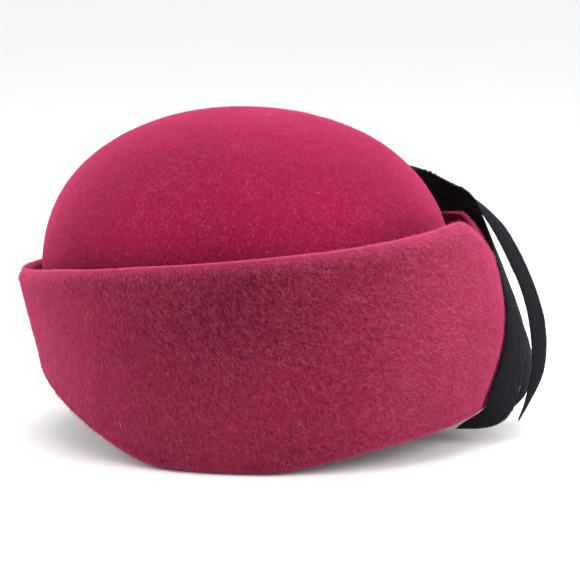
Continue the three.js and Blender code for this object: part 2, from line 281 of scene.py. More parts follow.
class FeltProperties(bpy.types.PropertyGroup):
    """The felt and its nap."""

    deep: FloatVectorProperty(
        name="Deep colour", description="Felt between the hairs of the nap, seen end on",
        default=(0.048, 0.0038, 0.0095), subtype="COLOR", size=3, min=0, max=1)
    # The felt goes from deep to bright with its grain, with painted light (towards bright) and painted
    # shade (towards deep)
    bright: FloatVectorProperty(
        name="Bright colour", description="Felt of the brim where the nap is brushed up",
        default=(0.285, 0.0205, 0.0545), subtype="COLOR", size=3, min=0, max=1)
    # The crown is the brim's felt: its bright colour is redder, and lighter as painted light for the light
    # on the crown
    crown_lit_bright: FloatVectorProperty(
        name="Crown colour", description="Felt of the crown where the nap is brushed up",
        default=(0.315, 0.0085, 0.050), subtype="COLOR", size=3, min=0, max=1)
    bloom: FloatVectorProperty(
        name="Bloom", description="Tint of the sheen where the nap is seen from the side",
        default=(1.0, 0.13, 0.33), subtype="COLOR", size=3, min=0, max=1)
    tip: FloatVectorProperty(
        name="Hair tip", description="Colour of the palest hairs of the brim",
        default=(0.43, 0.150, 0.220), subtype="COLOR", size=3, min=0, max=1)
    crown_tip: FloatVectorProperty(
        name="Crown hair tip", description="Colour of the palest hairs of the crown",
        default=(0.48, 0.115, 0.185), subtype="COLOR", size=3, min=0, max=1)
    # Painted highlight: the lip's colour is lighter where the rolled lip catches the light, where the nap
    # stands up
    lip: FloatVectorProperty(
        name="Lip colour", description="Felt on the lip of the cuff, where the nap stands up",
        default=(0.44, 0.043, 0.112), subtype="COLOR", size=3, min=0, max=1)
    lint: FloatVectorProperty(
        name="Lint", description="Colour of the few bits of lint in the nap",
        default=(0.85, 0.62, 0.68), subtype="COLOR", size=3, min=0, max=1)
    relief: FloatProperty(
        name="Relief", description="Height of the soft unevenness of blocked felt",
        default=0.0005, min=0, unit="LENGTH")
    cuff_hair: FloatProperty(
        name="Cuff hair", description="Length of the nap on the brim", default=0.0026, min=0,
        unit="LENGTH")
    crown_hair: FloatProperty(
        name="Crown hair", description="Length of the nap on the crown", default=0.0016, min=0,
        unit="LENGTH")
    hair_width: FloatProperty(
        name="Hair width", description="Width of a lock of nap at its root", default=0.00020, min=0,
        unit="LENGTH")
    lean: FloatProperty(
        name="Lean", description="How far the nap leans over from upright", default=math.radians(76),
        subtype="ANGLE")
    lip_lean: FloatProperty(
        name="Lip lean", description="How far the nap leans over on the lip of the cuff",
        default=math.radians(63), subtype="ANGLE")
    cuff_hairs: IntProperty(
        name="Cuff hairs", description="Locks of nap on each half of the brim", default=44000, min=0)
    crown_hairs: IntProperty(
        name="Crown hairs", description="Locks of nap on each half of the crown", default=34000, min=0)


class FeatherProperties(bpy.types.PropertyGroup):
    """The feathers and their binding."""

    colour: FloatVectorProperty(
        name="Colour", description="Colour of the barbs", default=(0.0078, 0.0074, 0.0092), subtype="COLOR",
        size=3, min=0, max=1)
    sheen: FloatVectorProperty(
        name="Sheen", description="Bluish tint of the barbs' sheen", default=(0.45, 0.60, 1.0),
        subtype="COLOR", size=3, min=0, max=1)
    barb_pitch: FloatProperty(
        name="Barb pitch", description="Distance between barbs along the quill", default=0.0007, min=0.0002,
        unit="LENGTH")
    barb_rise: FloatProperty(
        name="Barb rise", description="Height of a barb's ridge", default=0.00005, min=0, unit="LENGTH")
    thread: FloatVectorProperty(
        name="Thread", description="Colour of the binding thread", default=(0.012, 0.011, 0.013),
        subtype="COLOR", size=3, min=0, max=1)
    thread_turns: IntProperty(
        name="Turns", description="Turns of thread round the quill ends", default=15, min=1)


class StageProperties(bpy.types.PropertyGroup):
    """The floor, the lights and the camera."""

    floor_colour: FloatVectorProperty(
        name="Floor", description="Colour of the floor", default=(0.84, 0.84, 0.84), subtype="COLOR",
        size=3, min=0, max=1)
    camera_turn: FloatProperty(
        name="Turn", description="Angle of the camera round the hat, from +X towards +Y",
        default=math.radians(8.45), subtype="ANGLE")
    camera_rise: FloatProperty(
        name="Rise", description="Angle of the camera above the floor", default=math.radians(7.94),
        subtype="ANGLE")
    camera_distance: FloatProperty(
        name="Distance", description="Distance of the camera from its target", default=0.6322,
        unit="LENGTH")
    camera_target: FloatVectorProperty(
        name="Target", description="Point that the camera looks at", default=(0.0, 0.01554, 0.06705),
        size=3, subtype="XYZ", unit="LENGTH")
    lens: FloatProperty(
        name="Lens", description="Focal length in mm on a 36 mm sensor", default=82.15, min=1,
        unit="CAMERA")


def cosine(degrees):
    """Cosine of an angle in degrees."""
    return np.cos(np.radians(degrees))


def sine(degrees):
    """Sine of an angle in degrees."""
    return np.sin(np.radians(degrees))


def round_angles(count):
    """Angles in degrees, spread evenly round a circle."""
    return np.arange(count) * 360 / count


def steps(start, end, rows):
    """Even steps from a start towards an end that is left out, as a column."""
    return np.linspace(start, end, rows, endpoint=False)[:, None]


def lerp(a, b, share):
    """From a to b by a share."""
    return a + (b - a) * share


def smooth(share):
    """Smoothstep: 3s^2 - 2s^3, with s held between 0 and 1."""
    share = np.clip(share, 0, 1)
    return share * share * (3 - 2 * share)


def bell(away, width):
    """Bell curve: exp(-(away / width)^2)."""
    return np.exp(-(away / width) ** 2)


def polar(phi, radius, z):
    """Points at an angle round the hat, a radius and a height."""
    phi, radius, z = np.broadcast_arrays(phi, radius, z)
    return np.stack([radius * sine(phi), -radius * cosine(phi), z], -1).astype(float)


def phi_of(points):
    """Angle phi of points round the hat, from -180 to 180 degrees."""
    return np.degrees(np.arctan2(points[..., 0], -points[..., 1]))


def unit(vectors):
    """Vectors brought to length 1."""
    return vectors / np.maximum(np.linalg.norm(vectors, axis=-1, keepdims=True), 1e-12)


def run_along(points):
    """Lengths along a row of points, from the first one to each of them."""
    return np.concatenate([[0], np.cumsum(np.linalg.norm(np.diff(points, axis=0), axis=1))])


def section_weight(away):
    """1 at the section itself and 0 at every other one: sin(8h) / (8 tan h), with h half the angle away."""
    half = np.radians(away) / 2
    there = np.abs(np.sin(half)) < 1e-9
    safe = np.where(there, 1.0, half)
    return np.where(there, 1.0, np.sin(SECTIONS_ROUND * safe) / (SECTIONS_ROUND * np.tan(safe)))


def around(column, phi):
    """A column of the sections carried smoothly round the hat: each section times its weight, summed."""
    rows = SECTIONS[column]
    return sum(
        rows[min(k, SECTIONS_ROUND - k)] * section_weight(phi - k * SECTION_STEP)
        for k in range(SECTIONS_ROUND))


def fold_z(phi):
    """Height of the fold's underside: 0 along the sides, and a power of the cosine towards each end."""
    c = cosine(phi)
    heights = []
    for end in FOLD_LIFTS.values():
        past = (np.abs(c) - end["flat_to"]) / (1 - end["flat_to"])
        beginning = np.maximum(past + FOLD_SOFT, 0) ** 2 / (4 * FOLD_SOFT)
        along = np.where(past < FOLD_SOFT, beginning, past)
        heights.append(end["lift"] * np.maximum(along, 0) ** end["power"])
    return np.where(c > 0, *heights)


def head_r(phi):
    """Inside radius of the head opening."""
    return around("fold_r", phi) - FOLD_ARC - FOLD_FLAT - HEAD_ARC


def rim_share(phi):
    """How much of its full height the cuff reaches: 1, less a bell curve that is wider on the near side
    than on the far side."""
    away = np.mod(phi, 360) - RIM_DIP["phi"]
    return 1 - RIM_DIP["depth"] * bell(away, np.where(away < 0, RIM_DIP["near"], RIM_DIP["far"]))


def lip_swell(phi):
    """How much thicker than its wall the cuff's lip is: a bell curve round the front."""
    away = np.mod(phi - LIP_SWELL["phi"] + 180, 360) - 180
    return LIP_SWELL["depth"] * bell(away, LIP_SWELL["width"])


def cuff_r(phi, share):
    """Outside radius of the cuff: the parabola through its fold, belly and rim at shares 0, 1/2 and 1, less
    the roll of its lip, which grows as the square of the share past its start."""
    low = around("fold_r", phi) * (1 - share) * (1 - 2 * share)
    middle = around("belly_r", phi) * 4 * share * (1 - share)
    high = around("rim_r", phi) * share * (2 * share - 1)
    roll = LIP_ROLL * (np.maximum(share - rim_share(phi) + LIP_SHARE, 0) / LIP_SHARE) ** 2
    return low + middle + high - roll


def cuff_share(phi, z):
    """How far up the cuff a height lies, from 0 above the fold to 1 under the rim's round."""
    low = fold_z(phi) + FOLD_ARC
    high = around("rim_z", phi) - WALL / 2
    return (z - low) / (high - low)


def crown_wall_r(phi, z):
    """Outside radius of the crown's wall: a smoothstep in height from the head seam to the dome."""
    seam = fold_z(phi) + SEAM_RISE + GAP
    return lerp(head_r(phi) + WALL, around("crown_r", phi), smooth((z - seam) / (DOME_Z - seam)))


def lattice_noise(points, cell, seed):
    """Smooth noise from -1 to 1: hashed values at the corners of a cubic lattice, blended by smoothstep."""
    in_cells = points / cell
    base = np.floor(in_cells)
    part = smooth(in_cells - base)
    total = np.zeros(points.shape[:-1])
    for corner in itertools.product((0, 1), repeat=3):
        hashed = np.sin((base + corner) @ HASH + seed) * HASH_SCALE
        weight = np.prod(np.where(corner, part, 1 - part), axis=-1)
        total += (2 * (hashed - np.floor(hashed)) - 1) * weight
    return total


def noise_sum(points, rows):
    """A sum of smooth noises, from rows of weight, size and seed."""
    return sum(weight * lattice_noise(points, size, seed) for weight, size, seed in rows)


def brim_grid():
    """Points (row, phi) of the brim's closed section: up the outside of the cuff, over a half circle at the
    rim, down the inside at one wall's distance, which grows to the swollen lip, round the fold's inside by
    two quarter circles to the head seam, and back round the fold's outside by two larger ones."""
    phi = round_angles(BRIM_ROUND)
    low = fold_z(phi)
    outer_edge = around("fold_r", phi) - FOLD_ARC
    inner_edge = outer_edge - FOLD_FLAT
    head = inner_edge - HEAD_ARC
    top = rim_share(phi)

    def height(share):
        """Height of a share of the cuff."""
        return lerp(low + FOLD_ARC, around("rim_z", phi) - WALL / 2, share)

    def cuff(rows, start, end, inset, swell):
        """Rows of the cuff between two shares of its height, moved in and thickened near its lip."""
        share = top * steps(start, end, rows)
        thick = swell * smooth(1 - (top - share) / LIP_SWELL["share"])
        return cuff_r(phi, share) - inset - thick, height(share)

    def arc(r, z, radius, start, end, rows):
        """Rows of a circle's arc between two angles."""
        angle = steps(start, end, rows)
        return r + radius * cosine(angle), z + radius * sine(angle)

    def leg(radius, start, end):
        """Rows straight up or down by the head seam, between two heights over the fold."""
        share = steps(0, 1, LEG_ROWS)
        return radius + 0 * share, lerp(low + start, low + end, share)

    edge = steps(WALL, 0, 2)
    swell = lip_swell(phi)
    lip_r = (WALL + swell) / 2
    stretches = [
        cuff(CUFF_ROWS, 0, 1, 0, 0),
        arc(cuff_r(phi, top) - lip_r, height(top), lip_r, 0, 180, RIM_ROWS),
        cuff(CUFF_INSIDE_ROWS, 1, 0, WALL, swell),
        arc(outer_edge, low + FOLD_ARC, FOLD_ARC - WALL, 0, -90, FOLD_ROWS),
        arc(inner_edge, low + HEAD_ARC, HEAD_ARC - WALL, -90, -180, FOLD_ROWS),
        leg(head + WALL, HEAD_ARC, SEAM_RISE),
        (head + edge, low + SEAM_RISE + 0 * edge),
        leg(head, SEAM_RISE, HEAD_ARC),
        arc(inner_edge, low + HEAD_ARC, HEAD_ARC, -180, -90, FOLD_ROWS),
        arc(outer_edge, low + FOLD_ARC, FOLD_ARC, -90, 0, FOLD_ROWS),
    ]
    radius, z = (np.concatenate(rows) for rows in zip(*stretches))
    return polar(phi, radius, z)


def crown_face(inset, wall_rows, dome_rows):
    """Points (row, phi) of one face of the crown from the head seam to just under its top. The wall follows
    crown_wall_r. For a from 0 to 90 degrees, the dome's radius falls as cos(a), its height grows as sin(a)
    to the power 2 / fullness, and it leans forward as it rises."""
    phi = round_angles(CROWN_ROUND)
    share = steps(0, 1, wall_rows)
    z = lerp(fold_z(phi) + SEAM_RISE + GAP, DOME_Z, share)
    wall = polar(phi, crown_wall_r(phi, z) - inset, z)
    angle = steps(0, 90, dome_rows)
    rise = sine(angle) ** (2 / around("fullness", phi))
    radius = (around("crown_r", phi) - inset) * cosine(angle)
    dome = polar(phi, radius, lerp(DOME_Z, TOP_Z - inset, rise))
    dome[..., 1] += TOP_SHIFT * (1 - cosine(angle)) + TOP_LEAN * rise
    return np.concatenate([wall, dome])


def crown_top(inset):
    """The point that closes one face of the crown."""
    return np.array([0.0, TOP_SHIFT + TOP_LEAN, TOP_Z - inset])


def grid_normals(points, closed):
    """Unit normals of a grid whose columns run round the hat: the cross product of its steps round and
    along."""
    round_step = np.roll(points, -1, 1) - np.roll(points, 1, 1)
    if closed:
        along_step = np.roll(points, -1, 0) - np.roll(points, 1, 0)
    else:
        along_step = np.gradient(points, axis=0)
    return unit(np.cross(round_step, along_step))


def felt_relief(points, normals, height, fade):
    """Points moved along their normals by soft noise, faded where fade is 0."""
    return points + normals * (height * noise_sum(points, RELIEF_NOISE) * fade)[..., None]


def spot_amount(points, spots):
    """Sum of soft spots at points of the felt: for each, a bell curve of the distance from its middle,
    whose part round the hat is taken without crossing the middle of the back."""
    phi = phi_of(points)
    reach = np.linalg.norm(points[..., :2], axis=-1)
    total = np.zeros(points.shape[:-1])
    for row in spots:
        spot = dict(zip(SPOT_COLUMNS, row))
        away = np.hypot(np.radians(phi - spot["phi"]) * reach, points[..., 2] - spot["z"])
        total += spot["amount"] * bell(away, spot["radius"])
    return total


def grid_quads(rows, columns, closed):
    """Corner rows and columns of every quad of a grid whose columns run round, not yet wrapped."""
    row, column = np.meshgrid(np.arange(rows if closed else rows - 1), np.arange(columns), indexing="ij")
    corner_rows = np.stack([row, row, row + 1, row + 1], -1).reshape(-1, 4)
    corner_columns = np.stack([column, column + 1, column + 1, column], -1).reshape(-1, 4)
    return corner_rows, corner_columns


def grid_faces(rows, columns, closed):
    """Every quad of a grid whose columns run round, by the numbers of its points."""
    corner_rows, corner_columns = grid_quads(rows, columns, closed)
    return corner_rows % rows * columns + corner_columns % columns


def capped_faces(rows, columns):
    """Quads of a grid, and two fans that close its first and its last row, each to a middle point of its
    own. The two middle points follow the points of the grid."""
    ring = np.arange(columns)
    ahead = (ring + 1) % columns
    last = (rows - 1) * columns
    size = rows * columns
    first_fan = np.stack([ahead, ring, np.full(columns, size)], -1)
    last_fan = np.stack([last + ring, last + ahead, np.full(columns, size + 1)], -1)
    return grid_faces(rows, columns, False), first_fan, last_fan


def new_mesh(name, points, faces):
    """A smooth mesh in metres from points in mm and several arrays of faces, each with its corner count."""
    mesh = bpy.data.meshes.new(name)
    mesh.vertices.add(len(points))
    mesh.vertices.foreach_set("co", (np.asarray(points) * MM).astype(np.float32).ravel())
    corners = np.concatenate([f.ravel() for f in faces]).astype(np.int32)
    totals = np.concatenate([np.full(len(f), f.shape[1]) for f in faces])
    mesh.loops.add(len(corners))
    mesh.loops.foreach_set("vertex_index", corners)
    mesh.polygons.add(len(totals))
    mesh.polygons.foreach_set("loop_start", (np.cumsum(totals) - totals).astype(np.int32))
    mesh.update(calc_edges=True)
    if mesh.validate():
        raise RuntimeError(f"{name} has faces that Blender refuses")
    mesh.shade_smooth()
    return mesh


def add_map(mesh, name, places):
    """A UV map of that name, from one place per face corner."""
    layer = mesh.uv_layers.new(name=name)
    layer.uv.foreach_set("vector", np.asarray(places, np.float32).ravel())


def add_values(mesh, name, values):
    """A named value at every point of a mesh, for its material."""
    layer = mesh.attributes.new(name, "FLOAT", "POINT")
    layer.data.foreach_set("value", np.asarray(values, np.float32).ravel())


def add_piece(mesh, material, node):
    """Puts a finished mesh into the scene as the piece that stands for a node."""
    mesh.materials.append(material)
    piece = bpy.data.objects.new(mesh.name, mesh)
    bpy.context.scene.collection.objects.link(piece)
    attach(piece, BODY)
    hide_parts(node)


def scatter(points, columns, count, rng):
    """Places spread evenly over some columns of a grid: quads drawn by their area, and a random place in
    each. Returns the places, their unit normals, and the unit directions along and round the grid there."""
    here = points[:, columns]
    ahead = np.roll(points, -1, 1)[:, columns]
    top, bottom = here[1:], here[:-1]
    top_ahead, bottom_ahead = ahead[1:], ahead[:-1]
    along = (top - bottom + top_ahead - bottom_ahead) / 2
    across = (bottom_ahead - bottom + top_ahead - top) / 2
    area = np.linalg.norm(np.cross(across, along), axis=-1).ravel()
    drawn = np.searchsorted(np.cumsum(area), rng.random(count) * area.sum()).clip(0, len(area) - 1)
    a, b = rng.random((2, count, 1))

    def pick(grid):
        """What a grid holds at the quads that were drawn."""
        return grid.reshape(-1, 3)[drawn]

    place = lerp(lerp(pick(bottom), pick(bottom_ahead), a), lerp(pick(top), pick(top_ahead), a), b)
    along, across = unit(pick(along)), unit(pick(across))
    return place, unit(np.cross(across, along)), along, across


def halves(columns):
    """The columns of a grid on the wearer's left and on the wearer's right."""
    return {"left": slice(0, columns // 2), "right": slice(columns // 2, columns)}


def brim_lie(place):
    """How the nap lies on the brim: its turn from straight down, which grows towards the wearer's back as a
    sine, and how much of a lip each place is, where the nap stands up."""
    phi = phi_of(place)
    swing = BRIM_TURN["swing"] * sine(np.abs(phi) - BRIM_TURN["start"])
    lip = smooth((cuff_share(phi, place[:, 2]) - rim_share(phi) + LIP_SHARE) / LIP_SHARE)
    return np.sign(place[:, 0]) * (BRIM_TURN["middle"] + swing), lip


def crown_lie(place):
    """How the nap lies on the crown: turned from straight down by one angle, with no lip."""
    return np.sign(place[:, 0]) * CROWN_TURN, np.zeros(len(place))


def nap_flow(place, normal, down, across, turn, lean, rng):
    """Directions of the nap: leaning over from the normal towards a direction that lies in the surface,
    which is turned from straight down by an angle. Turn and lean have soft and fine unevenness."""
    def uneven(middle, noise):
        """A value with soft noise and a fine random part, as a column."""
        soft = noise["soft"] * lattice_noise(place, noise["size"], noise["seed"])
        return (middle + soft + noise["fine"] * rng.standard_normal(len(place)))[:, None]

    angle = uneven(turn, NAP_TURN)
    over = uneven(np.degrees(lean), NAP_LEAN)
    lie = down * cosine(angle) + across * sine(angle)
    return unit(normal * cosine(over) + lie * sine(over))


def nap_shade(place, painted_shading, rng):
    """A shade from 0 to the top of its range for each lock, partly shared with its neighbours, raised by
    painted light and lowered by painted shade, and 1 for the few bits of lint."""
    own = SHADE["own"] * rng.random(len(place))
    shared = noise_sum(place, SHADE_NOISE)
    shade = SHADE["top"] * np.clip(SHADE["base"] + own + shared + SHADE["painted_shading"] * painted_shading, 0, 1)
    shade[:LINT] = 1.0
    return shade


def strand_mesh(name, root, normal, axis, length, width, shade):
    """Locks of nap as closed slim spikes: three corners round the root, across the lock's axis, and one
    point at its tip. They are shaded by the direction that their upper side faces. The strand map holds
    each lock's shade and the place from root (0) to tip (1), and the flat layout gives each one a cell."""
    count = len(root)
    side = unit(np.cross(axis, normal))
    up = np.cross(side, axis)
    half = (width / 2)[:, None]
    corners = [
        root + half * side,
        root - half * side,
        root + SPIKE_RISE * half * up,
        root + axis * length[:, None],
    ]
    points = np.stack(corners, 1).reshape(-1, 3)
    faces = np.array([[0, 1, 3], [1, 2, 3], [2, 0, 3], [0, 2, 1]])
    triangles = (np.arange(count)[:, None, None] * 4 + faces).reshape(-1, 3)
    mesh = new_mesh(name, points, [triangles])
    mesh.normals_split_custom_set_from_vertices(np.repeat(up, 4, axis=0))
    reach = np.array([0.0, 0.0, 0.0, 1.0])[faces].ravel()
    add_map(mesh, "strand", np.stack([np.repeat(shade, faces.size), np.tile(reach, count)], -1))
    cells = math.ceil(math.sqrt(count))
    cell = np.stack([np.arange(count) % cells, np.arange(count) // cells], -1)
    corner = np.array([[0.1, 0.1], [0.5, 0.4], [0.9, 0.1], [0.5, 0.9]])[faces.ravel()]
    add_map(mesh, LAYOUT_MAP, (cell[:, None] + corner) / cells)
    return mesh


def add_nap(node, felt, skin, count, hair, spots, colours, lie):
    """Locks of nap over a skin of a node, as one piece on each half of the hat, without those that would
    dip under the floor. lie is the function that says how the nap lies there."""
    material = nap_material(f"nap of the {node}", felt, *colours)
    for half, (side, columns) in enumerate(halves(skin.shape[1]).items()):
        rng = np.random.default_rng(SEEDS[node] + half)
        place, normal, along, across = scatter(skin, columns, count, rng)
        turn, lip = lie(place)
        axis = nap_flow(place, normal, -along, across, turn, lerp(felt.lean, felt.lip_lean, lip), rng)
        spread = 1 + LENGTH_SPREAD * rng.standard_normal(count).clip(-2, 2)
        length = hair / MM * spread * (1 - LIP_SHORTER * lip)
        # Painted light and shade of the spots, and a painted highlight on the lip
        painted_shading = spot_amount(place, spots) + LIP_PAINTED_HIGHLIGHT * lip
        kept = (place + axis * length[:, None])[:, 2] > FLOOR_GAP
        place, normal, axis, length, painted_shading = (a[kept] for a in (place, normal, axis, length, painted_shading))
        width = felt.hair_width / MM * rng.uniform(*WIDTH_RANGE, len(place))
        shade = nap_shade(place, painted_shading, rng)
        root = place - ROOT_DEPTH * normal
        mesh = strand_mesh(f"{node}_nap_{side}", root, normal, axis, length, width, shade)
        add_piece(mesh, material, node)


def catmull_rom(knots, samples):
    """A centripetal Catmull-Rom curve through points, its ends mirrored, as evenly spaced points, their
    unit tangents and the curve's length. Steps between knots count as the square root of their length."""
    ends = np.concatenate([[2 * knots[0] - knots[1]], knots, [2 * knots[-1] - knots[-2]]])
    step = np.sqrt(np.linalg.norm(np.diff(ends, axis=0), axis=1))
    share = steps(0, 1, ROUTE_STEPS)
    s2, s3 = share ** 2, share ** 3
    fine = []
    for k in range(len(knots) - 1):
        a, b, c, d = ends[k:k + 4]
        before, here, after = step[k:k + 3]
        leave = ((b - a) / before - (c - a) / (before + here) + (c - b) / here) * here
        arrive = ((c - b) / here - (d - b) / (here + after) + (d - c) / after) * here
        start = (2 * s3 - 3 * s2 + 1) * b + (s3 - 2 * s2 + share) * leave
        end = (3 * s2 - 2 * s3) * c + (s3 - s2) * arrive
        fine.append(start + end)
    fine = np.concatenate(fine + [knots[-1:]])
    run = run_along(fine)
    even = np.linspace(0, run[-1], samples)
    points = np.stack([np.interp(even, run, fine[:, k]) for k in range(3)], -1)
    return points, unit(np.gradient(points, axis=0)), run[-1]


def feather_knots(feather, layer):
    """Points of a feather's route: upright out of the binding, up to its crest inside the rim, over the
    rim, and down outside the cuff to its tip."""
    def by_rim(phi, out, up):
        return polar(phi, around("rim_r", phi) + out, around("rim_z", phi) + up)

    def by_cuff(phi, out, z):
        return polar(phi, cuff_r(phi, cuff_share(phi, z)) + out, z)

    def by_fold(phi, out, z):
        return polar(phi, around("fold_r", phi) + out, z)

    def turn(share):
        return lerp(feather["crest_phi"], feather["tip_phi"], share)

    layer_out = layer * ROUTE["layer_pitch"]
    root_r = crown_wall_r(BINDING["phi"], DOME_Z) + 2 * GAP + QUILL_ROOT_R + layer_out
    root_z = BINDING["bottom"] + BINDING["height"] + GAP
    crest_out = layer_out - ROUTE["crest_inside"]
    rise_phi = lerp(BINDING["phi"], feather["crest_phi"], ROUTE["rise_share"])
    return np.stack([
        polar(BINDING["phi"], root_r, root_z),
        polar(BINDING["phi"], root_r, root_z + ROUTE["upright"]),
        by_rim(rise_phi, crest_out, feather["rise"] * ROUTE["rise_height"]),
        by_rim(feather["crest_phi"], crest_out, feather["rise"]),
        by_rim(turn(ROUTE["over_turn"]), feather["over_out"], feather["over_rise"]),
        by_rim(turn(ROUTE["shoulder_turn"]), feather["shoulder_out"], -ROUTE["shoulder_drop"]),
        by_cuff(turn(ROUTE["belly_turn"]), feather["out"], ROUTE["belly_z"]),
        by_cuff(turn(ROUTE["low_turn"]), feather["low_out"], ROUTE["low_z"]),
        by_fold(turn(ROUTE["hem_turn"]), feather["hem_out"], feather["hem_z"]),
        by_fold(feather["tip_phi"], feather["tip_out"], feather["tip_z"]),
    ])


def loose_reach(name, share, side):
    """How far loose barbs widen a vane: a sum of bell curves along it."""
    total = 0.0
    for row in LOOSE:
        loose = dict(zip(LOOSE_COLUMNS, row))
        if loose["name"] == name:
            widened = loose["length"] * bell(share - loose["share"], loose["spread"])
            total = total + widened * (np.asarray(side) == loose["side"])
    return total


class FeatherSurface:
    """The curved face of one feather's vane, as a function of the share along its quill and the reach
    across."""

    SAMPLES = 600

    def __init__(self, feather, layer):
        self.feather = feather
        place, along, self.length = catmull_rom(feather_knots(feather, layer), self.SAMPLES)
        share = np.linspace(0, 1, self.SAMPLES)
        out = place * (1, 1, 0)
        out = unit(out - along * (out * along).sum(-1, keepdims=True))
        turn = lerp(feather["root_turn"], feather["tip_turn"], share)[:, None]
        out = unit(out * cosine(turn) + np.cross(along, out) * sine(turn))
        self.table = np.concatenate([place, out, np.cross(along, out)], -1)

    def place_at(self, share):
        """Place on the quill, and the directions out of and across the vane."""
        at = np.clip(share, 0, 1) * (self.SAMPLES - 1)
        low = np.minimum(at.astype(int), self.SAMPLES - 2)
        row = lerp(self.table[low], self.table[low + 1], (at - low)[..., None])
        return row[..., :3], unit(row[..., 3:6]), unit(row[..., 6:9])

    def half_width(self, share, side):
        """The vane's width on one side: with g the grown share, it opens from the quill as
        1 - (1 - g)^opening, widens evenly and closes as 1 - g^blunt, with saw-tooth notches between its
        locks, and is wider where its barbs are loose."""
        grown = np.clip((share - BARE_SHARE) / (1 - BARE_SHARE), 0, 1)
        near = np.asarray(side) > 0
        width = np.where(near, self.feather["near"], self.feather["far"])
        blunt = np.where(near, self.feather["near_blunt"], self.feather["far_blunt"])
        ends = (1 - (1 - grown) ** OPENING) * (1 - grown ** blunt)
        lock = (grown * LOCKS + np.where(near, 0.5, 0)) % 1
        half = width * lerp(ROOT_WIDTH, TIP_WIDTH, grown) * ends * (1 - NOTCH * (1 - lock))
        return np.maximum(half, MIN_HALF) + loose_reach(self.feather["name"], share, side)

    def point(self, share, reach, share_of_half, lift):
        """A point at a reach across the vane, cambered away from the quill, and lifted off its face."""
        place, out, across = self.place_at(share)
        height = lift - CAMBER * np.abs(share_of_half * reach)
        return place + across * reach[..., None] + out * height[..., None]


def tube_faces(rings, sides):
    """Quads of a tube of rings, and the caps at both ends as one face each."""
    start = np.arange(sides)[::-1]
    end = np.arange(sides) + (rings - 1) * sides
    return grid_faces(rings, sides, False), np.stack([start, end])


def quill_points(surface, rings, sides):
    """The quill: oval rings round the route, lower than they are wide, their radius falling evenly from
    root to tip."""
    share = np.linspace(0, 1, rings)
    angle = round_angles(sides)
    place, out, across = (rows[:, None] for rows in surface.place_at(share))
    radius = lerp(QUILL_ROOT_R, QUILL_TIP_R, share)[:, None]
    wide = (radius * cosine(angle))[..., None]
    high = (QUILL_FLAT * radius * sine(angle))[..., None]
    return (place + across * wide + out * high).reshape(-1, 3)


def web_points(surface, rings, sides):
    """The thin web under the barbs: an oval section carried along the quill and narrowed to stay inside the
    notched edge."""
    share = np.linspace(BARE_SHARE, WEB["end"], rings)[:, None]
    angle = round_angles(sides)
    half = WEB["width"] * surface.half_width(share, np.where(cosine(angle) < 0, -1, 1))
    portion = cosine(angle) + 0 * share
    thick = WEB["half_thick"] * sine(angle) + 0 * share
    return surface.point(share + 0 * angle, portion * half, portion, thick).reshape(-1, 3)


def barb_points(surface, pitch, rise, rng):
    """Barbs on both sides: each leaves the quill and sweeps forward as it goes out, to the edge of the
    vane. Its section is a low ridge of three corners, wider than the pitch so that barbs overlap like
    shingles. Returns the points, the side of each barb and the share of the way out of each ring."""
    count = int(surface.length * (1 - BARE_SHARE) / pitch)
    root = np.linspace(BARE_SHARE, BARB["last"], count)
    root = np.concatenate([root, root + BARB["shift"] * pitch / surface.length])
    side = np.repeat((-1.0, 1.0), count)
    way_out = np.linspace(0, 1, BARB_RINGS[0])
    sweep = BARB["sweep"] + BARB["sweep_spread"] * rng.standard_normal(len(root))
    forward = sweep * surface.half_width(root, side) / surface.length
    share = np.clip(root[:, None] + forward[:, None] * way_out ** BARB["sweep_power"], 0, BARB["end"])
    edge = BARB["edge"] - BARB["edge_spread"] * rng.random(len(root))
    half = side * edge * surface.half_width(share[:, -1], side)
    breadth = pitch * lerp(BARB["root_breadth"], BARB["tip_breadth"], way_out ** 2) / surface.length
    lift = rise * (1 - BARB["tip_fall"] * way_out)
    flutter = BARB["flutter"] * rng.standard_normal(len(root))[:, None] * way_out
    corner_share = np.stack([share - breadth, share, share + breadth], -1)
    ridge = np.stack([0 * lift, lift, BARB["front_share"] * lift], -1)
    reach = np.broadcast_to((half[:, None] * way_out)[..., None], corner_share.shape)
    portion = (side[:, None] * way_out)[..., None]
    points = surface.point(corner_share, reach, portion, BARB["base"] + ridge + flutter[..., None])
    return points, side, way_out


def feather_mesh(feather, layer, pitch, rise, rng):
    """One feather: its quill, the thin web of its vane, and its barbs, as one mesh of closed bodies. The
    barb map holds the place along the quill in metres and the share of the way out from it."""
    surface = FeatherSurface(feather, layer)
    length = surface.length * MM
    points, faces, maps = [], {}, {}

    def keep(found, along, out):
        """Keeps faces by their corner count, with the barb map at each of their corners."""
        size = found.shape[-1]
        faces.setdefault(size, []).append(found.reshape(-1, size))
        maps.setdefault(size, []).append(np.stack(np.broadcast_arrays(along, out), -1))

    total = 0
    for make, (rings, sides), out in ((quill_points, QUILL_RINGS, 0.0), (web_points, WEB_RINGS, 0.5)):
        points.append(make(surface, rings, sides))
        along = np.repeat(np.linspace(0, length, rings), sides)
        for found in tube_faces(rings, sides):
            keep(found + total, along[found.ravel()], out)
        total += rings * sides
    barbs, side, way_out = barb_points(surface, pitch, rise, rng)
    points.append(barbs.reshape(-1, 3))
    rings, sides = BARB_RINGS
    root = np.tile(np.linspace(BARE_SHARE, 1, len(side) // 2), 2) * length
    first = total + np.arange(len(side))[:, None, None] * rings * sides
    for found in tube_faces(rings, sides):
        turned = np.where((side > 0)[:, None, None], found, found[:, ::-1])
        keep(turned + first, np.repeat(root, found.size), np.repeat(way_out, sides)[turned.ravel()])
    sizes = sorted(faces)
    mesh = new_mesh(feather["name"], np.concatenate(points), [np.concatenate(faces[s]) for s in sizes])
    add_map(mesh, "barb", np.concatenate([np.concatenate(maps[s]) for s in sizes]))
    return mesh


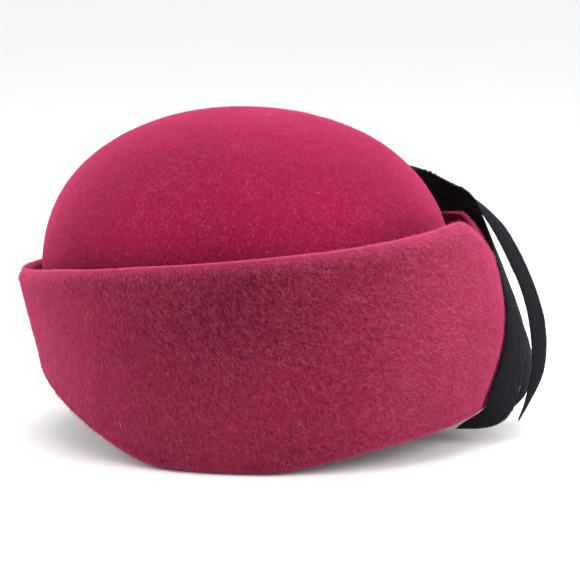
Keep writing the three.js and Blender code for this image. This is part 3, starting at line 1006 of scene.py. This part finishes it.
def add_node(tree, kind, inputs=None, **settings):
    """A shader node with its settings, and inputs that are values or other nodes' outputs."""
    node = tree.nodes.new(kind)
    for name, value in settings.items():
        setattr(node, name, value)
    for name, value in (inputs or {}).items():
        if isinstance(value, bpy.types.NodeSocket):
            tree.links.new(value, node.inputs[name])
        else:
            node.inputs[name].default_value = value
    return node


def reckon(tree, operation, *values, clamp=False):
    """The result of a maths node, from values or other nodes' outputs."""
    node = add_node(tree, "ShaderNodeMath", dict(enumerate(values)), operation=operation, use_clamp=clamp)
    return node.outputs[0]


def weighed(tree, *terms):
    """A sum of masks times their weights."""
    total = 0.0
    for mask, weight in terms:
        total = reckon(tree, "MULTIPLY_ADD", mask, weight, total)
    return total


def map_range(tree, value, start, end, low=0.0, high=1.0, kind="LINEAR"):
    """A value carried from the range of start to end into the range of low to high, and held inside it."""
    node = add_node(tree, "ShaderNodeMapRange", {
        "Value": value, "From Min": start, "From Max": end, "To Min": low, "To Max": high},
        interpolation_type=kind)
    return node.outputs[0]


def blend_colours(tree, share, low, high):
    """A colour between two, by a share. A colour is a triple or another node's output."""
    low, high = (c if isinstance(c, bpy.types.NodeSocket) else (*c, 1.0) for c in (low, high))
    return add_node(tree, "ShaderNodeMix", {0: share, 6: low, 7: high}, data_type="RGBA").outputs[2]


def scaled(colour, factor):
    """A colour times a factor."""
    return [factor * channel for channel in colour]


def new_group(name, inputs):
    """An empty shader node group with those inputs and an output named Mask, and its two ends."""
    group = bpy.data.node_groups.new(name, "ShaderNodeTree")
    for socket, (kind, default) in inputs.items():
        made = group.interface.new_socket(socket, in_out="INPUT", socket_type=kind)
        if default is not None:
            made.default_value = default
    group.interface.new_socket("Mask", in_out="OUTPUT", socket_type="NodeSocketFloat")
    given = group.nodes.new("NodeGroupInput").outputs
    return group, given, group.nodes.new("NodeGroupOutput").inputs["Mask"]


def streak_group(name):
    """Fine fibres: noise stretched along one direction of a flat map in metres, from 0 to 1."""
    group, given, mask = new_group(name, {
        "Vector": ("NodeSocketVector", None), "Turn": ("NodeSocketFloat", 0.0),
        "Across": ("NodeSocketFloat", 1500.0), "Along": ("NodeSocketFloat", 300.0)})
    turned = add_node(group, "ShaderNodeVectorRotate", {"Vector": given["Vector"], "Angle": given["Turn"]},
                      rotation_type="Z_AXIS")
    scale = add_node(group, "ShaderNodeCombineXYZ", {"X": given["Across"], "Y": given["Along"], "Z": 1.0})
    stretched = add_node(group, "ShaderNodeVectorMath", {0: turned.outputs[0], 1: scale.outputs[0]},
                         operation="MULTIPLY")
    noise = add_node(group, "ShaderNodeTexNoise", {
        "Vector": stretched.outputs[0], "Scale": 1.0, "Detail": 3.0, "Roughness": 0.6, "Distortion": 0.6})
    group.links.new(map_range(group, noise.outputs["Fac"], 0.32, 0.68), mask)
    return group


def mottle_group(name):
    """Soft patches: noise in space of a given size in metres, from 0 to 1."""
    group, given, mask = new_group(name, {
        "Vector": ("NodeSocketVector", None), "Size": ("NodeSocketFloat", 0.03)})
    scale = reckon(group, "DIVIDE", 1.0, given["Size"])
    noise = add_node(group, "ShaderNodeTexNoise", {
        "Vector": given["Vector"], "Scale": scale, "Detail": 4.0, "Roughness": 0.55})
    group.links.new(map_range(group, noise.outputs["Fac"], 0.3, 0.7), mask)
    return group


def place_group(tree, name, maker, inputs):
    """A shared node group put into a material with its own values, and made when it is first needed."""
    group = bpy.data.node_groups.get(name) or maker(name)
    return add_node(tree, "ShaderNodeGroup", inputs, node_tree=group).outputs[0]


def streaks(tree, vector, turn, across, along):
    """Fibre streaks on a flat map, turned by an angle, with so many to the metre across and along."""
    return place_group(tree, "fibre streaks", streak_group,
                       {"Vector": vector, "Turn": turn, "Across": across, "Along": along})


def patches(tree, vector, size):
    """Soft patches of a size in metres."""
    return place_group(tree, "soft patches", mottle_group, {"Vector": vector, "Size": size})


def new_material(name, constants):
    """A material with one Principled shader, whose constant values are set on its own sockets."""
    material = bpy.data.materials.new(name)
    material.use_nodes = True
    shader = material.node_tree.nodes["Principled BSDF"]
    for socket, value in constants.items():
        shader.inputs[socket].default_value = value
    return material, material.node_tree, shader


def lip_highlight(tree, flat, lip_at, painted_shading):
    """How much painted highlight a place of the felt map gets on the lip: 1 at lip_at along it, falling
    softly to 0 at its reach on both sides, raised by painted light and lowered by painted shade."""
    along = add_node(tree, "ShaderNodeSeparateXYZ", {0: flat}).outputs["Y"]
    away = reckon(tree, "ABSOLUTE", reckon(tree, "SUBTRACT", along, lip_at))
    lip = map_range(tree, away, 0.0, LIP_HIGHLIGHT_REACH, 1.0, 0.0, "SMOOTHSTEP")
    return reckon(tree, "MULTIPLY_ADD", lip, painted_shading, lip, clamp=True)


def felt_material(name, felt, bright, grain, lip_at=None):
    """Velour felt: deep crimson between the hairs, lighter where painted light lies and darker where
    painted shade lies, with fine fibre streaks along the nap and a pink sheen where it is seen from the
    side. grain is how strongly the fine streaks and tufts show, and lip_at how far along the felt map a lip
    lies, where the nap stands up and the colour gets a painted highlight."""
    material, tree, shader = new_material(name, {
        "Roughness": 0.9, "Specular IOR Level": 0.02, "Sheen Weight": 0.52, "Sheen Roughness": 0.5,
        "Sheen Tint": (*felt.bloom, 1.0), "Diffuse Roughness": 0.6})
    space = add_node(tree, "ShaderNodeTexCoord").outputs["Object"]
    flat = add_node(tree, "ShaderNodeUVMap", uv_map="felt").outputs[0]
    # Painted light and shade lighten and darken the felt's colour, as a value at each point
    painted_shading = add_node(tree, "ShaderNodeAttribute", attribute_name="painted_shading").outputs["Fac"]
    fibres = streaks(tree, flat, turn=math.radians(-38), across=2200.0, along=600.0)
    patch = patches(tree, space, size=0.045)
    tufts = patches(tree, space, size=0.0020)
    # The streaks and tufts raise the sum by about 0.55 of the grain, so it starts lower by as much
    marks = weighed(tree, (fibres, 0.6 * grain), (patch, 0.2), (tufts, 0.5 * grain), (painted_shading, 1.0))
    share = reckon(tree, "ADD", marks, 0.37 - 0.55 * grain, clamp=True)
    tone = blend_colours(tree, share, felt.deep, bright)
    # Painted highlight along the lip, less where painted shade lies on it
    if lip_at is not None:
        tone = blend_colours(tree, lip_highlight(tree, flat, lip_at, painted_shading), tone, felt.lip)
    tree.links.new(tone, shader.inputs["Base Color"])
    height = weighed(tree, (fibres, 0.6), (tufts, 0.4))
    bump = add_node(tree, "ShaderNodeBump", {"Strength": 0.4, "Distance": 0.0005, "Height": height})
    tree.links.new(bump.outputs[0], shader.inputs["Normal"])
    return material


def nap_material(name, felt, bright, tip):
    """Hairs of the nap, each in its own shade from deep crimson to pale pink and starting from the felt's
    bright colour at its root, and a few bits of pale lint."""
    material, tree, shader = new_material(name, {
        "Roughness": 0.8, "Specular IOR Level": 0.03, "Sheen Weight": 0.52, "Sheen Roughness": 0.5,
        "Sheen Tint": (*felt.bloom, 1.0)})
    strand = add_node(tree, "ShaderNodeUVMap", uv_map="strand").outputs[0]
    parts = add_node(tree, "ShaderNodeSeparateXYZ", {0: strand})
    shade = add_node(tree, "ShaderNodeValToRGB", {"Fac": parts.outputs["X"]})
    stops = shade.color_ramp.elements
    stops[0].color = (*felt.deep, 1.0)
    stops[1].color = (*felt.lint, 1.0)
    for place, colour in ((0.45, bright), (0.88, tip)):
        stops.new(place).color = (*colour, 1.0)
    along = reckon(tree, "POWER", parts.outputs["Y"], 0.35)
    tone = blend_colours(tree, along, bright, shade.outputs["Color"])
    tree.links.new(tone, shader.inputs["Base Color"])
    return material


def feather_material(feathers):
    """Black barbs with a faint bluish satin sheen, and faint streaks along them."""
    material, tree, shader = new_material("feather barbs", {
        "Specular IOR Level": 0.02, "Sheen Weight": 0.012, "Sheen Roughness": 0.35,
        "Sheen Tint": (*feathers.sheen, 1.0)})
    barb = add_node(tree, "ShaderNodeUVMap", uv_map="barb").outputs[0]
    fine = streaks(tree, barb, turn=0.0, across=1400.0, along=3.0)
    tone = blend_colours(tree, fine, scaled(feathers.colour, 0.85), scaled(feathers.colour, 1.15))
    tree.links.new(tone, shader.inputs["Base Color"])
    tree.links.new(map_range(tree, fine, 0.0, 1.0, 0.45, 0.6), shader.inputs["Roughness"])
    return material


def mottled_material(name, constants, size, low, high):
    """A material whose colour goes softly from one to another, in patches of a size in metres."""
    material, tree, shader = new_material(name, constants)
    space = add_node(tree, "ShaderNodeTexCoord").outputs["Object"]
    tone = blend_colours(tree, patches(tree, space, size), low, high)
    tree.links.new(tone, shader.inputs["Base Color"])
    return material


def thread_material(feathers):
    """Matt black thread with a little fuzz."""
    constants = {"Specular IOR Level": 0.25, "Sheen Weight": 0.2, "Roughness": 0.8}
    dark, pale = scaled(feathers.thread, 0.6), scaled(feathers.thread, 1.8)
    return mottled_material("binding thread", constants, 0.0012, dark, pale)


def floor_material(stage):
    """A pale matt floor with the faintest unevenness."""
    constants = {"Roughness": 0.9, "Specular IOR Level": 0.1}
    dim, full = scaled(stage.floor_colour, 0.985), stage.floor_colour
    return mottled_material("pale floor", constants, 0.2, dim, full)


def shell_maps(mesh, points, closed):
    """The felt map, in metres round the hat at its middle radius and along the section, and the flat
    layout. Corners of faces that follow the quads of the grid share one place in each."""
    rows, columns = points.shape[:2]
    corner_rows, corner_columns = (corners.ravel() for corners in grid_quads(rows, columns, closed))
    radius = np.linalg.norm(points[..., :2], axis=-1).mean()
    u, v = corner_columns / columns, corner_rows / rows
    along = np.interp(corner_rows, np.arange(rows), run_along(points[:, 0]))
    felt = np.stack([u * 2 * np.pi * radius, along], -1) * MM
    layout = np.stack([u, v], -1) * (1 - 2 * LAYOUT_EDGE) + LAYOUT_EDGE
    tail = np.zeros((len(mesh.loops) - len(u), 2))
    add_map(mesh, "felt", np.concatenate([felt, tail]))
    add_map(mesh, LAYOUT_MAP, np.concatenate([layout, tail + LAYOUT_EDGE / 2]))


def aim(thing, place, target):
    """Puts a light or a camera at a place and turns it to a target."""
    thing.location = place
    thing.rotation_euler = (Vector(target) - Vector(place)).to_track_quat("-Z", "Y").to_euler()


class HAT_OT_stage(bpy.types.Operator):
    """Make the floor, the lights and the camera"""

    bl_idname = "hat.stage"
    bl_label = "Stage"

    # The floor in metres: its first ring, its flat middle, and how far out and up its edge goes
    MIDDLE_R = 0.2
    FLAT_R = 0.7
    EDGE_R = 3.6
    EDGE_Z = 1.3
    FLAT_ROWS = 8
    EDGE_ROWS = 24
    ROUND = 96

    # Name, place, width in metres and power in watts of each round lamp, then the light from all round, and
    # how near the camera sees
    LIGHTS = (
        ("overhead", (0.0, 0.1, 1.25), 1.2, 16.5),
        ("back", (0.3, 1.2, 0.65), 0.9, 14.0),
        ("front", (0.0, -1.25, 0.6), 0.9, 10.0),
    )
    SKY_COLOUR = (0.97, 0.98, 1.0, 1.0)
    SKY_STRENGTH = 1.05
    CLIP_START = 0.01

    def execute(self, context):
        stage = context.scene.hat_stage
        self.add_floor(context.scene, stage)
        self.add_lights(context.scene, stage)
        self.add_camera(context.scene, stage)
        context.scene.view_settings.view_transform = "Standard"
        return {"FINISHED"}

    def add_floor(self, scene, stage):
        """A dish: flat in the middle, with a quarter ellipse rising at its edge, turned about +Z."""
        angle = np.linspace(0, 90, self.EDGE_ROWS)
        flat = steps(self.MIDDLE_R, self.FLAT_R, self.FLAT_ROWS)[:, 0]
        radius = np.concatenate([flat, lerp(self.FLAT_R, self.EDGE_R, sine(angle))])
        height = np.concatenate([0 * flat, self.EDGE_Z * (1 - cosine(angle))])
        points = polar(round_angles(self.ROUND), radius[:, None], height[:, None]) / MM
        quads, fan = capped_faces(len(radius), self.ROUND)[:2]
        points = np.concatenate([points.reshape(-1, 3), [[0, 0, 0]]])
        mesh = new_mesh("floor", points, [quads[:, ::-1], fan[:, ::-1]])
        mesh.materials.append(floor_material(stage))
        floor = bpy.data.objects.new("floor", mesh)
        scene.collection.objects.link(floor)

    def add_lights(self, scene, stage):
        """Round lamps that face the camera's target, and an even light from all round."""
        for name, place, size, power in self.LIGHTS:
            light = bpy.data.lights.new(name, "AREA")
            light.shape = "DISK"
            light.size = size
            light.energy = power
            lamp = bpy.data.objects.new(name, light)
            aim(lamp, place, stage.camera_target)
            scene.collection.objects.link(lamp)
        world = bpy.data.worlds.new("studio")
        world.use_nodes = True
        background = world.node_tree.nodes["Background"]
        background.inputs["Color"].default_value = self.SKY_COLOUR
        background.inputs["Strength"].default_value = self.SKY_STRENGTH
        scene.world = world

    def add_camera(self, scene, stage):
        """The camera, at its distance from its target, turned and raised by its angles."""
        turn, rise = stage.camera_turn, stage.camera_rise
        away = Vector((math.cos(rise) * math.cos(turn), math.cos(rise) * math.sin(turn), math.sin(rise)))
        target = Vector(stage.camera_target)
        data = bpy.data.cameras.new("camera")
        data.lens = stage.lens
        data.clip_start = self.CLIP_START
        camera = bpy.data.objects.new("camera", data)
        aim(camera, target + away * stage.camera_distance, target)
        scene.collection.objects.link(camera)
        scene.camera = camera


class HAT_OT_brim(bpy.types.Operator):
    """Make the turned-up brim and its nap"""

    bl_idname = "hat.brim"
    bl_label = "Brim"

    def execute(self, context):
        felt = context.scene.hat_felt
        points = brim_grid()
        cuff = np.arange(CUFF_ROWS + RIM_ROWS + CUFF_INSIDE_ROWS)
        fade = np.zeros((len(points), 1))
        fade[cuff, 0] = smooth(np.minimum(
            cuff / RELIEF_FADE["fold"], (len(cuff) - cuff) / RELIEF_FADE["inside"]))
        normals = grid_normals(points, True)
        points = felt_relief(points, normals, felt.relief / MM, fade)
        points = points - normals * (spot_amount(points, DENTS) * fade)[..., None]
        mesh = new_mesh("brim", points.reshape(-1, 3), [grid_faces(len(points), BRIM_ROUND, True)])
        shell_maps(mesh, points, True)
        # Painted light and shade of the brim, as a value at each point
        add_values(mesh, "painted_shading", spot_amount(points, CUFF_PAINTED_SHADING))
        lip_at = run_along(points[:CUFF_ROWS + RIM_ROWS // 2, 0])[-1] * MM
        material = felt_material("velour brim", felt, felt.bright, BRIM_GRAIN, lip_at)
        add_piece(mesh, material, "brim")
        # The nap goes from the lower fold up the cuff, over the rim and part of the way down inside
        rows = np.arange(-FOLD_ROWS // 2, CUFF_ROWS + RIM_ROWS + CUFF_INSIDE_ROWS // 3)
        skin = np.take(points, rows, axis=0, mode="wrap")
        colours = (felt.bright, felt.tip)
        add_nap("brim", felt, skin, felt.cuff_hairs, felt.cuff_hair, CUFF_PAINTED_SHADING, colours, brim_lie)
        return {"FINISHED"}


class HAT_OT_crown(bpy.types.Operator):
    """Make the crown and its nap"""

    bl_idname = "hat.crown"
    bl_label = "Crown"

    def execute(self, context):
        felt = context.scene.hat_felt
        outside = crown_face(0, CROWN_WALL_ROWS, DOME_ROWS)
        inside = crown_face(WALL, CROWN_WALL_ROWS // CROWN_INSIDE_SHARE, DOME_ROWS // CROWN_INSIDE_SHARE)
        row = np.arange(len(outside))[:, None]
        fade = smooth(row / CROWN_WALL_ROWS - CROWN_RELIEF_FROM)
        fade = fade * smooth((len(outside) - row) / RELIEF_FADE["top"])
        outside = felt_relief(outside, grid_normals(outside, False), felt.relief / MM, fade)
        points = np.concatenate([inside[::-1], outside])
        flat = np.concatenate([points.reshape(-1, 3), [crown_top(WALL), crown_top(0)]])
        mesh = new_mesh("crown", flat, capped_faces(len(points), CROWN_ROUND))
        shell_maps(mesh, points, False)
        # Painted light and shade of the crown, as a value at each point
        add_values(mesh, "painted_shading", spot_amount(flat, CROWN_PAINTED_SHADING))
        material = felt_material("velour crown", felt, felt.crown_lit_bright, CROWN_GRAIN)
        add_piece(mesh, material, "crown")
        # The nap goes from halfway up the wall to the top
        skin = outside[CROWN_WALL_ROWS // 2:]
        colours = (felt.crown_lit_bright, felt.crown_tip)
        add_nap("crown", felt, skin, felt.crown_hairs, felt.crown_hair, CROWN_PAINTED_SHADING, colours, crown_lie)
        return {"FINISHED"}


class HAT_OT_feathers(bpy.types.Operator):
    """Make the four feathers of the spray"""

    bl_idname = "hat.feathers"
    bl_label = "Feathers"

    def execute(self, context):
        feathers = context.scene.hat_feathers
        material = feather_material(feathers)
        for layer, row in enumerate(FEATHERS):
            rng = np.random.default_rng(SEEDS["feathers"] + layer)
            feather = dict(zip(FEATHER_COLUMNS, row))
            mesh = feather_mesh(feather, layer, feathers.barb_pitch / MM, feathers.barb_rise / MM, rng)
            add_piece(mesh, material, feather["name"])
        return {"FINISHED"}


class HAT_OT_binding(bpy.types.Operator):
    """Make the thread that binds the quill ends"""

    bl_idname = "hat.binding"
    bl_label = "Binding"

    # Steps round the bundle and up it, and the depth of the grooves between turns of thread in mm
    ROUND = 96
    ROWS = 181
    GROOVE = 0.35

    def execute(self, context):
        feathers = context.scene.hat_feathers
        ends = BINDING["bottom"] + np.array([0, BINDING["height"]])
        inner = crown_wall_r(BINDING["phi"], ends).max() + GAP
        outer = cuff_r(BINDING["phi"], cuff_share(BINDING["phi"], ends)).min() - WALL - 2 * GAP
        points = self.wound(inner, outer, feathers.thread_turns)
        flat = np.concatenate([points.reshape(-1, 3), [points[0].mean(0), points[-1].mean(0)]])
        mesh = new_mesh("quill_binding", flat, capped_faces(self.ROWS, self.ROUND))
        add_piece(mesh, thread_material(feathers), "quill_binding")
        return {"FINISHED"}

    def wound(self, inner, outer, turns):
        """A straight bundle with half-round sides, ridged by thread that winds up it: the outline moves in
        by the groove's depth times 1 less |cos| of half the winding angle."""
        round_r = BINDING["thickness"] / 2
        angle = round_angles(self.ROUND)
        share = np.linspace(0, 1, self.ROWS)[:, None]
        winding = turns * 360 * share + angle
        radius = round_r - self.GROOVE * (1 - np.abs(cosine(winding / 2)))
        middle = np.where(cosine(angle) >= 0, outer - round_r, inner + round_r)
        x = middle + radius * cosine(angle)
        y = radius * sine(angle)
        z = BINDING["bottom"] + BINDING["height"] * share + 0 * angle
        turn = BINDING["phi"] - 90
        return np.stack([x * cosine(turn) - y * sine(turn), x * sine(turn) + y * cosine(turn), z], -1)


class HAT_PT_panel(bpy.types.Panel):
    """The hat's sizes, colours and pieces"""

    bl_idname = "HAT_PT_panel"
    bl_label = "Hat"
    bl_space_type = "VIEW_3D"
    bl_region_type = "UI"
    bl_category = "Hat"

    def draw(self, context):
        for group in (context.scene.hat_felt, context.scene.hat_feathers, context.scene.hat_stage):
            box = self.layout.box()
            for name in group.__annotations__:
                box.prop(group, name)
        for operator in OPERATORS:
            self.layout.operator(operator.bl_idname)


PROPERTY_GROUPS = {
    "hat_felt": FeltProperties, "hat_feathers": FeatherProperties, "hat_stage": StageProperties,
}
OPERATORS = (HAT_OT_stage, HAT_OT_brim, HAT_OT_crown, HAT_OT_feathers, HAT_OT_binding)
CLASSES = (*PROPERTY_GROUPS.values(), *OPERATORS, HAT_PT_panel)


def register():
    """Adds the classes to Blender and the settings to its scenes."""
    for made in CLASSES:
        bpy.utils.register_class(made)
    for name, group in PROPERTY_GROUPS.items():
        setattr(bpy.types.Scene, name, PointerProperty(type=group))


def unregister():
    """Takes the settings and the classes out again."""
    for name in PROPERTY_GROUPS:
        delattr(bpy.types.Scene, name)
    for made in reversed(CLASSES):
        bpy.utils.unregister_class(made)


def main():
    """Builds the whole scene."""
    register()
    bpy.ops.hat.stage()
    bpy.ops.hat.brim()
    bpy.ops.hat.crown()
    bpy.ops.hat.feathers()
    bpy.ops.hat.binding()


if __name__ == "__main__":
    main()
